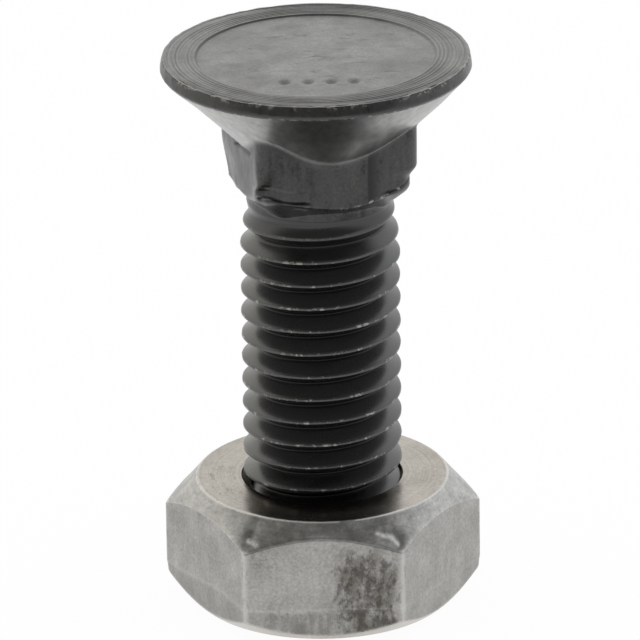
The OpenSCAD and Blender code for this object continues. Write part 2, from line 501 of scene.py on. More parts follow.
def forged_side(angle, height):
    """Radius of the neck, its bevelled corners and the countersink, with marks for its finish."""
    turn = (angle - math.radians(NECK_FRONT) + np.pi) % (2 * np.pi) - np.pi
    turn_deg = np.degrees(turn)
    square = forged_square(angle, turn, height)
    depth, grime, rub, scratch = neck_marks(turn, square, height)
    foot = bevel_foot(angle, turn_deg, height, square)
    above_edge = height - SHOULDER_Z - (square - foot) * SHOULDER_SLOPE
    bevel = foot + (height - SHOULDER_Z) / SHOULDER_SLOPE

    # A lap of metal is folded over the foot of the front's left, with a pocket under its left end
    lap = window(turn_deg, *LAP)
    lip = window(turn_deg, *LIP)
    pocket = smooth_step((POCKET_START - turn_deg) / POCKET_FADE)
    pocket_level = 0.08 + 0.2 * smooth_step((turn_deg + 35) / 14) - 0.15 * pocket
    undercut = lap * near((above_edge - pocket_level) / (0.09 + 0.25 * pocket), 0, 1)

    square = square - depth + drawn_out(turn_deg, height, above_edge, lip)
    left_fillet = near(turn_deg, *LEFT_FILLET)
    ease = FOOT_EASE + LEFT_FILLET_EASE * left_fillet + RIGHT_FILLET_EASE * near(turn_deg, *RIGHT_FILLET)
    neck = soft_min(square, bevel, ease) - (UNDERCUT_IN + POCKET_IN * pocket) * undercut
    front = near(turn_deg, *FRONT_BLEND)
    left = near(turn_deg, *LEFT_BLEND)
    flare = FLARE_OUT * front * smooth_step((FLARE_Z - height) / 2.5)
    cone = CONE_R - (RIM_Z - height) * CONE_SLOPE + flare
    past_neck = cone - neck
    body = soft_max(neck, cone, FORGE_BLEND + WIDE_BLEND * (front + left))
    radius = soft_max(body, BLANK_R + 0 * neck, 0.1) - SCRATCH_DEPTH * scratch

    countersink = smooth_step((past_neck + 0.4 * left) / (0.2 + 0.3 * front + 0.6 * left))
    on_neck = 1 - countersink
    bare_edge = (1 - lap) * (1 - left_fillet) * (1 - near(turn_deg, -50, 8)) * near(above_edge, 0.0, 0.08)
    # On the bevel under the lap the edge mark is a painted highlight along its foot
    lap_foot_highlight = 0.7 * lap * (1 - 0.8 * pocket) * near(above_edge, -0.35, 0.07)
    countersink_shade = painted_shade_patches(np.degrees(angle), height, countersink, past_neck)
    # Painted shade in the lap's undercut and pocket and on the countersink's patches; the scratch is darker
    # too
    grime = np.clip(grime * on_neck + undercut + countersink_shade + 0.9 * scratch, 0, 1)
    # Painted highlights: a faint line where the neck meets the countersink, a line along the lap's lip and
    # a lighter bevel under the lap, next to the rubbed seam
    meeting_highlight = 0.06 * near(past_neck, -0.15 * front, 0.09) * (1 - left_fillet)
    under_lap_highlight = 0.3 * lap * (1 - pocket) * smooth_step((-0.15 - above_edge) / 0.1)
    lip_highlight = 0.9 * lip * near(above_edge, 0.82, 0.06)
    rub = np.clip(rub * on_neck + meeting_highlight + lip_highlight + under_lap_highlight, 0, 1)
    edge = (bare_edge + lap_foot_highlight) * on_neck
    return radius, {"countersink": countersink, "edge": edge, "grime": grime, "rub": rub}


def set_head(points):
    """Shifts and tilts what lies near the head's face, fading out down the countersink."""
    weight = smooth_step((points[..., 2] - RIM_Z + 1.5) / 1.5)
    at_face = smooth_step((points[..., 2] - HEAD_TOP + 0.55) / 0.45)
    points[..., 0] += HEAD_SHIFT * weight
    points[..., 1] += HEAD_BACK * at_face
    points[..., 2] += HEAD_TILT * points[..., 0] * weight
    return points


def neck_and_countersink(skin, angle):
    neck_z = SHOULDER_Z + 2.6
    cone_z = RIM_Z - 2.3
    height = np.concatenate([
        np.linspace(THREAD_TOP, SHOULDER_Z - 0.1, 5),
        np.linspace(SHOULDER_Z, neck_z, 48),
        np.linspace(neck_z + 0.05, cone_z, 40),
        np.linspace(cone_z + 0.1, RIM_Z, 16),
    ])[:, None]
    radius, marks = forged_side(angle, height)
    radius[0] = BLANK_R
    skin.add(set_head(round_points(radius, angle, height)), FORGED, **marks)


def punched_dimples(x, y):
    depth = 0.0
    for place in DIMPLE_PLACES:
        away = np.hypot(x - place, y - DIMPLE_Y)
        depth = depth + smooth_step(1.25 - away / DIMPLE_R)
    return depth


def head_rim(skin, angle):
    profile, _ = rounded_profile(
        [(CONE_R, RIM_Z), (RIM_R, RIM_Z + RIM_FOOT_HEIGHT), (RIM_SHOULDER_R, HEAD_TOP - RIM_EDGE_HEIGHT),
         (RIM_EDGE_R, HEAD_TOP), (FACE_R, HEAD_TOP)], RIM_EASE, RIM_SPANS, np.zeros(len(RIM_SPANS)))
    radius = profile[:, :1] + 0 * angle
    height = profile[:, 1:] + 0 * angle
    nick = smooth_step((unevenness(angle, 0, 31, 14, 70, 0.1) - 0.7) / 0.7)
    battered_right = near(angle, math.radians(BATTERED_RIGHT), 0.4)
    battered_front = near(angle, math.radians(BATTERED_FRONT), 0.5)
    battered = 0.3 + battered_right + 0.4 * battered_front
    at_edge = near(height, HEAD_TOP, 0.14) * (radius > RIM_EDGE_R - 0.3)
    rolled = RIM_WAVER * unevenness(angle, height, 32, 10, 24, 2.0) * near(height, RIM_Z + 0.4, 0.3)
    chewed = np.abs(unevenness(angle, 0, 33, 14, 48, 0.1))
    height = height - (NICK_DROP * nick * battered + CHEW_DROP * chewed) * at_edge
    radius = radius - (NICK_IN * nick * battered + CHEW_IN * chewed) * at_edge - np.abs(rolled)
    at_top = near(height, HEAD_TOP - 0.05, 0.12) * smooth_step((radius - RIM_EDGE_R + 0.14) / 0.1)
    at_foot = 0.8 * near(height, RIM_Z + 0.02, 0.08)
    edge = np.clip(at_top * (0.45 + 0.55 * battered) + at_foot, 0, 1)
    on_face = profile[1:, 0] <= RIM_EDGE_R - 0.03
    points = set_head(round_points(radius, angle, height))
    skin.add(points, np.where(on_face, FACED, FORGED)[:, None], edge=edge, rub=0.2)


def head_face(skin, angle):
    stops = (PANEL_EDGE_R, PANEL_R - 0.04, *DIMPLE_ROWS_R, 0.0)
    rings = [np.linspace(FACE_R, PANEL_EDGE_R, 60)]
    for outer, inner, count in zip(stops, stops[1:], (7, 5, 28, 10)):
        rings.append(np.linspace(outer, inner, count)[1:])
    face_r = np.concatenate(rings)[:, None]
    groove = 0.5 - 0.5 * np.cos(2 * np.pi * (face_r - PANEL_EDGE_R) / RING_PITCH)
    groove = groove * (0.7 + 0.3 * unevenness(angle, face_r, 52, 8, 3, 9.0))
    on_ring = window(face_r, PANEL_EDGE_R, FACE_R, 0.12, 0.06)
    sunk = smooth_step((PANEL_EDGE_R - face_r) / PANEL_SLOPE)
    # Painted shade: the panel's wall darkens, most on its back left, the rings darken in their grooves and
    # at their front and back, and the face darkens towards its right. The dimples are darker too.
    wall_shade = sunk * (1 - sunk) * 4 * (0.35 + 0.65 * near(angle, math.radians(140), 1.3))
    dimples = punched_dimples(face_r * np.cos(angle), face_r * np.sin(angle))
    ripple = PANEL_RIPPLE * unevenness(angle, face_r, 51, 9, 7, 2.5) * sunk
    drop = PANEL_DEPTH * sunk + RING_DEPTH * groove * on_ring + DIMPLE_DEPTH * dimples + ripple - 0.012
    ring_shade = on_ring * (0.55 * groove + 0.28 * np.sin(angle) ** 2)
    right_side_shade = 0.1 * smooth_step(face_r * np.cos(angle) / 8)
    grime = np.clip(wall_shade + 0.6 * dimples + ring_shade + right_side_shade, 0, 1)
    face = set_head(round_points(face_r, angle, HEAD_TOP - np.maximum(drop, 0.0)))
    skin.add(face, FACED, grime=grime, turned=1 - sunk)


def plow_bolt(finishes):
    """The whole bolt. Its finishes are in the order of the names above."""
    skin = Skin(["edge", "countersink", "grime", "rub", "turned"])
    angle = bolt_angles()
    threaded_shank(skin, angle)
    neck_and_countersink(skin, angle)
    head_rim(skin, angle)
    head_face(skin, angle)
    bolt = skin.piece("plow_bolt_forging", finishes)
    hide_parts("plow_bolt")
    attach(bolt, "bolt")


# Nut

FLAT, TURNED, BORED, BEVELLED = range(4)


def nut_angles():
    """Columns round the nut, closer together near its corners."""
    half = np.linspace(0, 1, NUT_SECTOR_COLUMNS // 2 + 1) ** 1.6 * math.radians(30)
    sector = np.concatenate([half[:-1], math.radians(60) - half[:0:-1]])
    return np.concatenate([sector + math.radians(60) * k for k in range(6)])[None, :]


def dented(points, centre, reach, push):
    """Pushes the points near a place by a short vector."""
    away = np.linalg.norm((points - np.array(centre)) / np.array(reach), axis=-1)
    return points + np.exp(-away ** 2)[..., None] * np.array(push)


def facing(angle, middle, half, fade):
    """1 on the side of the nut that looks one way, fading inside its two ends."""
    off = np.abs(angle - math.radians(middle))
    return smooth_step((math.radians(half) - off) / math.radians(fade))


def nut_burr_highlights(points):
    """Painted highlights on burrs on the front, drawn along their paths as seen from there."""
    burr = np.zeros(points.shape[:2])
    for path in BURR_HIGHLIGHT_PATHS:
        burr = np.maximum(burr, near(line_distance(points[..., 0], points[..., 2], path), 0, BURR_HIGHLIGHT_WIDTH))
    return burr * (points[..., 1] < BURR_HIGHLIGHT_FRONT_Y)


def nut_outside(skin, angle):
    from_face = angle[0] - math.radians(30)
    reach = polygon_reach(from_face, 6, NUT_HALF, NUT_CORNER)
    soft_reach = polygon_reach(from_face, 6, NUT_HALF, NUT_BEVEL_CORNER)
    base_z = np.maximum((reach - NUT_BASE_R) * NUT_BASE_SLOPE, NUT_BASE_EDGE_Z)
    to_corner = (reach - NUT_HALF) / (reach.max() - NUT_HALF)
    top_z = NUT_FLAT_TOP_Z + (NUT_CORNER_TOP_Z - NUT_FLAT_TOP_Z) * to_corner
    band_z = BAND_Z + BAND_WAVER * unevenness(angle[0], 0, 61, 6, 7, 0.1)
    bevel_r = NUT_TOP_R + (soft_reach - NUT_TOP_R) * NUT_BEVEL_SHARE
    bevel_z = NUT_H + (top_z - NUT_H) * NUT_BEVEL_SHARE
    level = 0 * reach
    profile, bends = rounded_profile(
        [(MOUTH_R, level), (NUT_BASE_R, level), (reach - NUT_BASE_INSET, base_z),
         (reach - BAND_STEP, band_z - 0.1), (reach, band_z + 0.06), (reach, top_z),
         (bevel_r, bevel_z), (NUT_TOP_R, NUT_H + level), (MOUTH_R, NUT_H + level)],
        NUT_EASE, NUT_SPANS, (1, 0.5, 0, 0.25, 0.5, 0, 1))
    radius = profile[..., 0]
    height = profile[..., 1]
    points = round_points(radius, angle, height)
    on_flat = (height > base_z) * smooth_step((radius - reach + 0.24) / 0.16)
    sag = FLAT_SAG * (unevenness(angle, height, 71, 9, 9, 0.8) - 1)
    points[..., :2] *= (1 + sag * on_flat / radius)[..., None]
    for share in np.linspace(0, 1, DENT_COUNT):
        points = dented(points, DENT_START + DENT_RUN * share, DENT_REACH, DENT_PUSH)
    points = dented(points, LEFT_DENT, LEFT_DENT_REACH, LEFT_DENT_PUSH)

    # The flats run from the second inner corner of the profile to the fifth, and the bevel to the seventh
    flat_start, flat_end, bevel_end = [corner_row(NUT_SPANS, corner) for corner in (2, 5, 7)]
    finish = np.full((radius.shape[0] - 1, 1), TURNED)
    finish[flat_start:flat_end] = FLAT
    finish[flat_end:bevel_end] = BEVELLED

    past_corner = (angle + math.radians(30)) % math.radians(60) - math.radians(30)
    corner_wear = near(past_corner * reach.max(), 0, 0.2) * on_flat
    front = facing(angle, 270, 30.2, 0.8)
    right = facing(angle, 330, 31, 1.5)
    top_edge = window(height, 5.3, 7.4, 0.3, 0.3)
    faint = 1 - 0.75 * (1 - front) * top_edge - 0.75 * right * near(height, BAND_Z, 0.6)
    edge = np.clip(bends[:, None] * faint + corner_wear, 0, 1)
    band = smooth_step((band_z - height) / 0.25) * (radius > NUT_BASE_R) * (1 - 0.7 * right)
    burr = nut_burr_highlights(points)
    points[..., 0] += NUT_SHIFT
    skin.add(points, finish, edge=edge, band=band, front=front, burr=burr)


def nut_bore(skin, angle):
    rise = helix_rows(0.0, NUT_H)
    height = np.clip(rise + PITCH * angle / (2 * np.pi), 0.0, NUT_H)
    tapped = thread_profile(rise, CREST_R + THREAD_PLAY, NUT_ROOT_START)
    from_end = np.minimum(height, NUT_H - height)
    radius = np.maximum(tapped, MOUTH_R - MOUTH_SLOPE * from_end)
    skin.add(round_points(radius, angle, height), BORED, turn_rows=len(THREAD_ROWS), inward=True)


def hex_nut(finishes):
    """The whole nut. Its finishes are in the order of the names above."""
    skin = Skin(["edge", "band", "front", "burr"])
    angle = nut_angles()
    nut_outside(skin, angle)
    nut_bore(skin, angle)
    nut = skin.piece("hex_nut_body", finishes)
    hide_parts("hex_nut")
    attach(nut, "nut")


# Node helpers

def feed(tree, socket, value):
    """Sets a socket to a plain value, or links another node's output to it."""
    if isinstance(value, bpy.types.NodeSocket):
        tree.links.new(value, socket)
    else:
        socket.default_value = value


def math_node(tree, operation, *values):
    node = tree.nodes.new("ShaderNodeMath")
    node.operation = operation
    for socket, value in zip(node.inputs, values):
        feed(tree, socket, value)
    return node.outputs[0]


def product(tree, first, *others):
    """All the values multiplied together."""
    for other in others:
        first = math_node(tree, "MULTIPLY", first, other)
    return first


def strongest(tree, first, *others):
    """The largest of several masks at each point."""
    for other in others:
        first = math_node(tree, "MAXIMUM", first, other)
    return first


def vector_node(tree, operation, *values):
    node = tree.nodes.new("ShaderNodeVectorMath")
    node.operation = operation
    for socket, value in zip(node.inputs, values):
        feed(tree, socket, value)
    return node.outputs["Value" if operation in ("LENGTH", "DOT_PRODUCT") else "Vector"]


def remap(tree, value, low, high, to_low=0.0, to_high=1.0):
    """A smooth step from one range of values to another."""
    node = tree.nodes.new("ShaderNodeMapRange")
    node.interpolation_type = "SMOOTHSTEP"
    for label, part in (("Value", value), ("From Min", low), ("From Max", high),
                        ("To Min", to_low), ("To Max", to_high)):
        feed(tree, node.inputs[label], part)
    return node.outputs["Result"]


def mix_colour(tree, share, first, second, blend="MIX"):
    node = tree.nodes.new("ShaderNodeMix")
    node.data_type = "RGBA"
    node.blend_type = blend
    feed(tree, node.inputs["Factor"], share)
    for socket, value in zip((node.inputs[6], node.inputs[7]), (first, second)):
        feed(tree, socket, (*value, 1) if isinstance(value, tuple) else value)
    return node.outputs[2]


def dimmed(tree, colour, tone):
    """A colour times a tone that varies over the surface."""
    return mix_colour(tree, 1.0, colour, tone, "MULTIPLY")


def noise(tree, place, size, detail, seed, roughness=0.55):
    """Smooth noise with blotches of about that size."""
    scale = math_node(tree, "DIVIDE", 1.0, size)
    node = tree.nodes.new("ShaderNodeTexNoise")
    node.noise_dimensions = "4D"
    for label, value in (("Vector", place), ("W", seed), ("Scale", scale),
                         ("Detail", detail), ("Roughness", roughness)):
        feed(tree, node.inputs[label], value)
    return node.outputs["Fac"]


def mark(tree, name):
    node = tree.nodes.new("ShaderNodeAttribute")
    node.attribute_name = name
    return node.outputs["Fac"]


def place_mm(tree):
    """The point on the piece in millimetres, in the piece's own frame."""
    place = tree.nodes.new("ShaderNodeTexCoord").outputs["Object"]
    return vector_node(tree, "DIVIDE", place, (MM, MM, MM))


def tone_about_one(tree, value, contrast):
    """A value that swings about a half, turned into a tone that swings about 1."""
    swing = product(tree, math_node(tree, "SUBTRACT", value, 0.5), contrast)
    return math_node(tree, "MULTIPLY_ADD", swing, 2.0, 1.0)


def new_group(name, output, **inputs):
    """A group with one output, and inputs with their first values. Spaces in labels are written as _."""
    tree = bpy.data.node_groups.new(name, "ShaderNodeTree")
    for label, value in inputs.items():
        kind = "NodeSocketVector" if isinstance(value, tuple) else "NodeSocketFloat"
        socket = tree.interface.new_socket(label.replace("_", " "), in_out="INPUT", socket_type=kind)
        socket.default_value = value
    tree.interface.new_socket(output, in_out="OUTPUT", socket_type="NodeSocketFloat")
    entry = tree.nodes.new("NodeGroupInput").outputs
    leave = tree.nodes.new("NodeGroupOutput").inputs
    return tree, entry, leave


def use(tree, group, **values):
    """Places a group in a material and returns its output. Spaces in labels are written as _."""
    node = tree.nodes.new("ShaderNodeGroup")
    node.node_tree = group
    for label, value in values.items():
        feed(tree, node.inputs[label.replace("_", " ")], value)
    return node.outputs[0]


# Effects that several finishes share

STAIN_LEVEL = 0.86


def grain_group():
    """Uneven tone about 1, from soft blotches to fine grain or long brush strokes."""
    tree, entry, leave = new_group("steel_grain", "Tone", Size=1.0, Stretch=(1, 1, 1), Contrast=0.2,
                                   Detail=3.0, Seed=0.0)
    place = vector_node(tree, "MULTIPLY", place_mm(tree), entry["Stretch"])
    value = noise(tree, place, entry["Size"], entry["Detail"], entry["Seed"])
    feed(tree, leave["Tone"], tone_about_one(tree, value, entry["Contrast"]))
    return tree


def rings_group():
    """Uneven turned rings round an upright axis, as a tone about 1."""
    tree, entry, leave = new_group("turned_rings", "Tone", Pitch=0.2, Axis_X=0.0, Waver=0.05, Contrast=0.2)
    place = place_mm(tree)
    axis = tree.nodes.new("ShaderNodeCombineXYZ")
    feed(tree, axis.inputs["X"], entry["Axis X"])
    from_axis = vector_node(tree, "SUBTRACT", place, axis.outputs[0])
    level = vector_node(tree, "MULTIPLY", from_axis, (1, 1, 0))
    wander = product(tree, noise(tree, place, 2.0, 2.0, 7.0), entry["Waver"])
    radius = math_node(tree, "ADD", vector_node(tree, "LENGTH", level), wander)
    strip = tree.nodes.new("ShaderNodeTexNoise")
    strip.noise_dimensions = "1D"
    feed(tree, strip.inputs["W"], math_node(tree, "DIVIDE", radius, entry["Pitch"]))
    for label, value in (("Scale", 1.0), ("Detail", 2.0), ("Roughness", 0.7)):
        feed(tree, strip.inputs[label], value)
    feed(tree, leave["Tone"], tone_about_one(tree, strip.outputs["Fac"], entry["Contrast"]))
    return tree


def wear_group():
    """Broken bright wear along the edges that the mesh marks. Under the neck's lap the mark is a painted
    highlight instead.
    """
    tree, entry, leave = new_group("edge_wear", "Wear", Size=0.6, Stretch=(1, 1, 1), Amount=0.5, Seed=0.0)
    place = vector_node(tree, "MULTIPLY", place_mm(tree), entry["Stretch"])
    chips = noise(tree, place, entry["Size"], 4.0, entry["Seed"], 0.65)
    limit = math_node(tree, "SUBTRACT", 0.8, product(tree, entry["Amount"], 0.6))
    broken = remap(tree, chips, limit, math_node(tree, "ADD", limit, 0.08))
    feed(tree, leave["Wear"], product(tree, broken, mark(tree, "edge")))
    return tree


def stain_group():
    """A blotchy stain that keeps to a patch of the piece."""
    tree, entry, leave = new_group("oil_stain", "Stain", Centre=(0, 0, 0), Spread=(1, 1, 1), Size=1.0,
                                   Stretch=(1, 1, 1), Cover=0.5, Softness=0.2, Seed=0.0)
    place = place_mm(tree)
    from_centre = vector_node(tree, "SUBTRACT", place, entry["Centre"])
    away = vector_node(tree, "DIVIDE", from_centre, entry["Spread"])
    squared = vector_node(tree, "MULTIPLY", away, away)
    patch = remap(tree, vector_node(tree, "LENGTH", squared), 0.15, 1.3, 1.0, 0.0)
    stretched = vector_node(tree, "MULTIPLY", place, entry["Stretch"])
    blotch = noise(tree, stretched, entry["Size"], 6.0, entry["Seed"], 0.68)
    level = math_node(tree, "MULTIPLY_ADD", patch, entry["Cover"], blotch)
    mask = remap(tree, level, STAIN_LEVEL, math_node(tree, "ADD", entry["Softness"], STAIN_LEVEL))
    feed(tree, leave["Stain"], product(tree, mask, patch))
    return tree


steel_grain = grain_group()
turned_rings = rings_group()
edge_wear = wear_group()
oil_stain = stain_group()


# Finishes

THREAD_IOR = 1.92
FORGED_IOR = 1.66

BLACK_OXIDE = (0.012, 0.012, 0.011)
RUBBED_OXIDE_AND_HIGHLIGHT = (0.11, 0.11, 0.105)
SOOT_AND_SHADE = (0.004, 0.004, 0.004)
TURNED_CONE = (0.38, 0.38, 0.37)
WORN_FORGING = (0.34, 0.33, 0.31)
OILED_THREAD = (0.006, 0.0065, 0.006)
WORN_CREST = (0.3, 0.29, 0.27)
HEAD_FACE = (0.226, 0.226, 0.222)
HEAD_FACE_SHADE_AND_GRIME = (0.05, 0.05, 0.05)
WORN_HEAD_FACE = (0.5, 0.49, 0.46)
NUT_FLATS = (0.36, 0.355, 0.34)
NUT_BAND = (0.14, 0.135, 0.125)
OIL_FILM = (0.12, 0.105, 0.085)
OIL_SPECKS = (0.04, 0.035, 0.03)
WORN_FLATS = (0.66, 0.65, 0.62)
NUT_BEVEL = (0.47, 0.465, 0.45)
BEVEL_SCUFF = (0.12, 0.12, 0.12)
WORN_AND_HIGHLIGHT_BEVEL = (0.9, 0.89, 0.86)
NUT_TOP = (0.425, 0.396, 0.358)
NUT_TOP_SCUFF = (0.13, 0.11, 0.085)
WORN_NUT_TOP = (0.75, 0.73, 0.69)
NUT_BORE = (0.17, 0.155, 0.13)

# Where stains lie on the pieces
LEFT_NECK_FACE = {"Centre": (-5.2, -1.4, 28.6), "Spread": (2.2, 4.8, 2.6)}
WHOLE_HEAD_FACE = {"Centre": (0, 0, HEAD_TOP), "Spread": (9, 9, 3)}
FRONT_FLAT_RIGHT = {"Centre": (2.6, -8.5, 3.1), "Spread": (2.9, 2.5, 4.7)}
FRONT_FLAT_RIGHT_LOW = {"Centre": (2.6, -8.5, 2.9), "Spread": (2.9, 2.5, 4.6)}
FRONT_FLAT_TOP_LEFT = {"Centre": (-3.9, -8.4, 5.7), "Spread": (1.8, 2.0, 1.5)}
FRONT_FLAT_FOOT = {"Centre": (-1.6, -8.4, 1.2), "Spread": (3.4, 2.5, 1.2)}
FRONT_BEVELS = {"Centre": (0, -4.0, 7.0), "Spread": (11.0, 7.0, 2.0)}
NUT_TOP_LEFT = {"Centre": (-6.2, -1.5, NUT_H), "Spread": (2.2, 5.0, 1.0)}


def new_finish(name):
    material = bpy.data.materials.new(name)
    material.use_nodes = True
    return material, material.node_tree, material.node_tree.nodes["Principled BSDF"]


def coat(tree, shader, colour, metallic, roughness, height, distance):
    """Feeds a finish to its shader, with a bump that is so many millimetres high."""
    for label, value in (("Base Color", colour), ("Metallic", metallic), ("Roughness", roughness)):
        feed(tree, shader.inputs[label], value)
    bump = tree.nodes.new("ShaderNodeBump")
    bump.inputs["Distance"].default_value = distance * MM
    feed(tree, bump.inputs["Height"], height)
    feed(tree, shader.inputs["Normal"], bump.outputs["Normal"])


def black_oxide_finish():
    material, tree, shader = new_finish("black_oxide")
    blotch = use(tree, steel_grain, Size=1.8, Contrast=0.8, Detail=5.0, Seed=1.0)
    fine = use(tree, steel_grain, Size=0.16, Contrast=0.6, Detail=2.0, Seed=2.0)
    drawn = use(tree, steel_grain, Size=0.5, Stretch=(1, 1, 0.12), Contrast=0.6, Seed=3.0)
    wear = use(tree, edge_wear, Size=0.45, Amount=0.46, Seed=4.0)
    spots = use(tree, oil_stain, Size=0.9, Cover=0.44, Softness=0.25, Seed=5.0, **LEFT_NECK_FACE)
    shine = use(tree, oil_stain, Size=1.1, Cover=0.44, Softness=0.25, Seed=6.0, **LEFT_NECK_FACE)
    turned = mark(tree, "countersink")
    on_forging = math_node(tree, "SUBTRACT", 1.0, turned)
    tone = product(tree, blotch, fine, drawn)
    soot = product(tree, remap(tree, tone, 0.4, 1.1, 0.55, 0.0), on_forging)
    polish = product(tree, remap(tree, tone, 1.05, 1.6, 0.0, 0.7), on_forging)
    # The mesh's marks bring painted shade into the grime and painted highlights into the rubbing, next to
    # the forging's own soot, spots, polish and shine
    grime = strongest(tree, mark(tree, "grime"), soot, product(tree, spots, 0.5))
    rub = strongest(tree, mark(tree, "rub"), polish, product(tree, shine, 0.5))
    colour = dimmed(tree, BLACK_OXIDE, tone)
    colour = mix_colour(tree, turned, colour, dimmed(tree, TURNED_CONE, drawn))
    colour = mix_colour(tree, rub, colour, RUBBED_OXIDE_AND_HIGHLIGHT)
    colour = mix_colour(tree, grime, colour, SOOT_AND_SHADE)
    colour = mix_colour(tree, wear, colour, WORN_FORGING)
    metallic = strongest(tree, wear, grime, rub, turned)
    rough = math_node(tree, "MULTIPLY_ADD", turned, 0.3, product(tree, blotch, on_forging, 0.32))
    shader.inputs["IOR"].default_value = FORGED_IOR
    forged = math_node(tree, "MULTIPLY_ADD", blotch, 4.0, math_node(tree, "ADD", fine, drawn))
    smoothed = math_node(tree, "MULTIPLY_ADD", turned, -0.85, 1.0)
    coat(tree, shader, colour, metallic, rough, product(tree, forged, smoothed), 0.008)
    return material


def rolled_thread_finish():
    material, tree, shader = new_finish("rolled_thread")
    blotch = use(tree, steel_grain, Size=1.8, Contrast=0.4, Detail=3.0, Seed=11.0)
    fine = use(tree, steel_grain, Size=0.12, Contrast=0.5, Detail=2.0, Seed=12.0)
    wear = use(tree, edge_wear, Size=0.4, Amount=0.43, Seed=13.0)
    # The grime mark here is painted shade in the roots and on the runout, made darker through metallic
    grime = product(tree, mark(tree, "grime"), 0.85)
    colour = dimmed(tree, OILED_THREAD, product(tree, blotch, fine))
    colour = mix_colour(tree, wear, colour, WORN_CREST)
    shader.inputs["IOR"].default_value = THREAD_IOR
    coat(tree, shader, colour, strongest(tree, wear, grime), product(tree, blotch, 0.28), fine, 0.003)
    return material


def turned_face_finish():
    material, tree, shader = new_finish("turned_head_face")
    blotch = use(tree, steel_grain, Size=2.0, Contrast=0.7, Detail=6.0, Seed=21.0)
    smear = use(tree, steel_grain, Size=0.9, Stretch=(0.35, 1, 1), Contrast=0.55, Detail=6.0, Seed=22.0)
    fine = use(tree, steel_grain, Size=0.14, Contrast=0.4, Detail=2.0, Seed=23.0)
    ring_contrast = product(tree, mark(tree, "turned"), 0.55)
    rings = use(tree, turned_rings, Pitch=0.13, Axis_X=HEAD_SHIFT, Waver=0.15, Contrast=ring_contrast)
    wear = use(tree, edge_wear, Size=0.45, Amount=0.46, Seed=4.0)
    scars = use(tree, oil_stain, Size=0.55, Stretch=(0.45, 1, 1), Cover=0.32, Softness=0.12,
                Seed=24.0, **WHOLE_HEAD_FACE)
    tone = product(tree, blotch, smear, rings, fine)
    colour = dimmed(tree, HEAD_FACE, tone)
    # The grime mark mixed in here is painted shade on the panel's wall, in the rings and towards the face's
    # right, and darkens the dimples
    colour = mix_colour(tree, mark(tree, "grime"), colour, HEAD_FACE_SHADE_AND_GRIME)
    colour = mix_colour(tree, product(tree, scars, 0.5), colour, HEAD_FACE_SHADE_AND_GRIME)
    colour = mix_colour(tree, wear, colour, WORN_HEAD_FACE)
    height = math_node(tree, "ADD", rings, math_node(tree, "ADD", smear, fine))
    coat(tree, shader, colour, 0.7, product(tree, smear, 0.36), height, 0.004)
    return material


def steel_flats_finish():
    material, tree, shader = new_finish("bare_steel_flats")
    brushed = use(tree, steel_grain, Size=0.3, Stretch=(1, 1, 0.1), Contrast=0.18, Detail=3.0, Seed=31.0)
    blotch = use(tree, steel_grain, Size=1.6, Contrast=0.4, Detail=6.0, Seed=32.0)
    fine = use(tree, steel_grain, Size=0.16, Contrast=0.45, Detail=3.0, Seed=33.0)
    wash = use(tree, oil_stain, Size=0.75, Stretch=(1, 1, 0.7), Cover=0.52, Softness=0.24,
               Seed=34.0, **FRONT_FLAT_RIGHT)
    specks = use(tree, oil_stain, Size=0.5, Stretch=(1, 1, 0.6), Cover=0.45, Softness=0.16,
                 Seed=36.0, **FRONT_FLAT_RIGHT_LOW)
    smudge = use(tree, oil_stain, Size=0.5, Cover=0.4, Softness=0.16, Seed=37.0, **FRONT_FLAT_TOP_LEFT)
    drips = use(tree, oil_stain, Size=0.5, Stretch=(1, 1, 0.3), Cover=0.5, Softness=0.2,
                Seed=38.0, **FRONT_FLAT_FOOT)
    wear = use(tree, edge_wear, Size=0.7, Stretch=(1, 1, 0.4), Amount=0.68, Seed=35.0)
    front = mark(tree, "front")
    colour = dimmed(tree, NUT_FLATS, product(tree, brushed, blotch, fine))
    colour = mix_colour(tree, product(tree, mark(tree, "band"), 0.16), colour, NUT_BAND)
    colour = mix_colour(tree, product(tree, wash, front, 0.6), colour, OIL_FILM)
    dark = strongest(tree, specks, product(tree, strongest(tree, smudge, drips), 0.45))
    colour = mix_colour(tree, product(tree, dark, front, 0.66), colour, OIL_SPECKS)
    colour = mix_colour(tree, product(tree, wear, 0.55), colour, WORN_FLATS)
    height = math_node(tree, "ADD", brushed, fine)
    coat(tree, shader, colour, 1.0, product(tree, brushed, 0.38), height, 0.005)
    return material


def steel_bevel_finish():
    material, tree, shader = new_finish("bare_steel_bevel")
    blotch = use(tree, steel_grain, Size=1.0, Contrast=0.7, Detail=6.0, Seed=61.0)
    fine = use(tree, steel_grain, Size=0.18, Contrast=0.45, Detail=3.0, Seed=62.0)
    rings = use(tree, turned_rings, Pitch=0.2, Waver=0.3, Contrast=0.15)
    scuff = use(tree, oil_stain, Size=0.7, Stretch=(1, 1, 1.6), Cover=0.31, Softness=0.25,
                Seed=63.0, **FRONT_BEVELS)
    wear = use(tree, edge_wear, Size=0.8, Amount=0.75, Seed=43.0)
    colour = dimmed(tree, NUT_BEVEL, product(tree, rings, blotch, fine))
    colour = mix_colour(tree, product(tree, scuff, 0.5), colour, BEVEL_SCUFF)
    # The burrs get a painted highlight, a pale and nearly non-metal colour, shared with the worn edges
    burr = product(tree, mark(tree, "burr"), remap(tree, fine, 0.7, 1.1, 0.35, 1.0))
    wear_and_highlight = strongest(tree, product(tree, wear, 0.6), burr)
    colour = mix_colour(tree, wear_and_highlight, colour, WORN_AND_HIGHLIGHT_BEVEL)
    metallic = math_node(tree, "MULTIPLY_ADD", wear_and_highlight, -0.75, 1.0)
    height = math_node(tree, "ADD", blotch, fine)
    coat(tree, shader, colour, metallic, product(tree, blotch, 0.38), height, 0.008)
    return material


